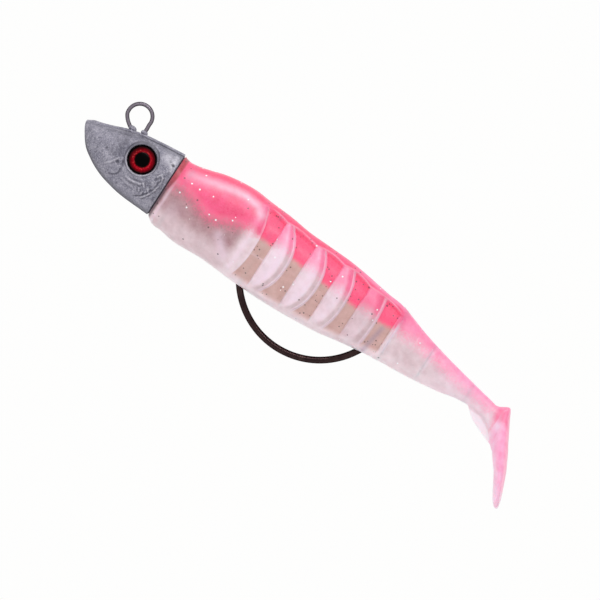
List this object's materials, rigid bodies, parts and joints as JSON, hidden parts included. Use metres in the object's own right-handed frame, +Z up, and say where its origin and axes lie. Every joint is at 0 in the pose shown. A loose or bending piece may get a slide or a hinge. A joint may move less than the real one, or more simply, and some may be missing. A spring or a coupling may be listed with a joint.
{
  "type": "articulated jig head lure",
  "caption": "Articulated fishing jig head: cast fish head with wire line tie and glass-look eyes, linked to an offset hook that carries a ribbed soft paddle-tail body.",
  "frame": {"origin": "centre of the wire line-tie eye above the head, where the line holds the lure", "axes": "+X aft from nose to tail, +Z up through the back, +Y to the lure's right flank"},
  "size_m": [0.1167, 0.012, 0.0318],
  "materials": {
    "cast_metal": "satin grey cast lead-tin alloy, mottled, bright on the edges",
    "tie_steel": "drawn stainless spring wire",
    "eye_adhesive": "foam adhesive pad",
    "eye_print": "printed red foil with a black pupil",
    "eye_resin": "clear domed resin",
    "link_steel": "drawn stainless wire",
    "hook_black_nickel": "black nickel plated carbon steel",
    "soft_collar": "translucent soft PVC, pink above, pearl below",
    "soft_front": "translucent soft PVC, pink above, pearl below, fine glitter",
    "soft_ribbed": "translucent soft PVC, pink above, pearl below, fine glitter",
    "soft_tail": "translucent soft PVC, pink above, pearl below",
    "soft_web": "thin clear pearl soft PVC",
    "soft_paddle": "pink soft PVC"
  },
  "bodies": {
    "head": {"head_casting": "cast_metal", "line_tie_wire": "tie_steel", "eye_pad_left": "eye_adhesive", "eye_iris_left": "eye_print", "eye_dome_left": "eye_resin", "eye_pad_right": "eye_adhesive", "eye_iris_right": "eye_print", "eye_dome_right": "eye_resin"},
    "link": {"hook_link": "link_steel", "nose_collar": "soft_collar"},
    "hook_carrier": {"hook": "hook_black_nickel", "front_sleeve": "soft_front"},
    "ribbed_body": {"mid_body": "soft_ribbed"},
    "tail_stem_front": {"tail_front": "soft_tail"},
    "tail_stem_rear": {"tail_rear": "soft_tail", "tail_web": "soft_web"},
    "paddle_tail": {"paddle": "soft_paddle"}
  },
  "joints": [
    {"name": "head_pitch", "type": "hinge", "parent": "head", "child": "link", "pos_m": [0.0147, 0, -0.0086], "axis": [0, 1, 0], "range_deg": [-12, 12], "stiffness_Nm_per_rad": 0.25, "deforming": ["nose_collar"]},
    {"name": "head_yaw", "type": "hinge", "parent": "link", "child": "hook_carrier", "pos_m": [0.0174, 0, -0.0086], "axis": [0.0349, 0, 0.9994], "range_deg": [-18, 18], "stiffness_Nm_per_rad": 0.05},
    {"name": "hook_set", "type": "hinge", "parent": "hook_carrier", "child": "ribbed_body", "pos_m": [0.0331, 0, -0.018], "axis": [0, 1, 0], "range_deg": [0, 10], "stiffness_Nm_per_rad": 0.25},
    {"name": "tail_sway_front", "type": "hinge", "parent": "ribbed_body", "child": "tail_stem_front", "pos_m": [0.0746, 0, -0.0114], "axis": [0.0349, 0, 0.9994], "range_deg": [-14, 14], "stiffness_Nm_per_rad": 0.02},
    {"name": "tail_sway_rear", "type": "hinge", "parent": "tail_stem_front", "child": "tail_stem_rear", "pos_m": [0.0841, 0, -0.0114], "axis": [0.0349, 0, 0.9994], "range_deg": [-18.5, 18.5], "stiffness_Nm_per_rad": 0.01},
    {"name": "paddle_flap", "type": "hinge", "parent": "tail_stem_rear", "child": "paddle_tail", "pos_m": [0.0946, 0, -0.0114], "axis": [0.0349, 0, 0.9994], "range_deg": [-35, 35], "stiffness_Nm_per_rad": 0.01, "deforming": ["tail_web"]}
  ],
  "couplings": [
    {"joint": "tail_sway_rear", "follows": "tail_sway_front", "ratio": 1.3}
  ]
}
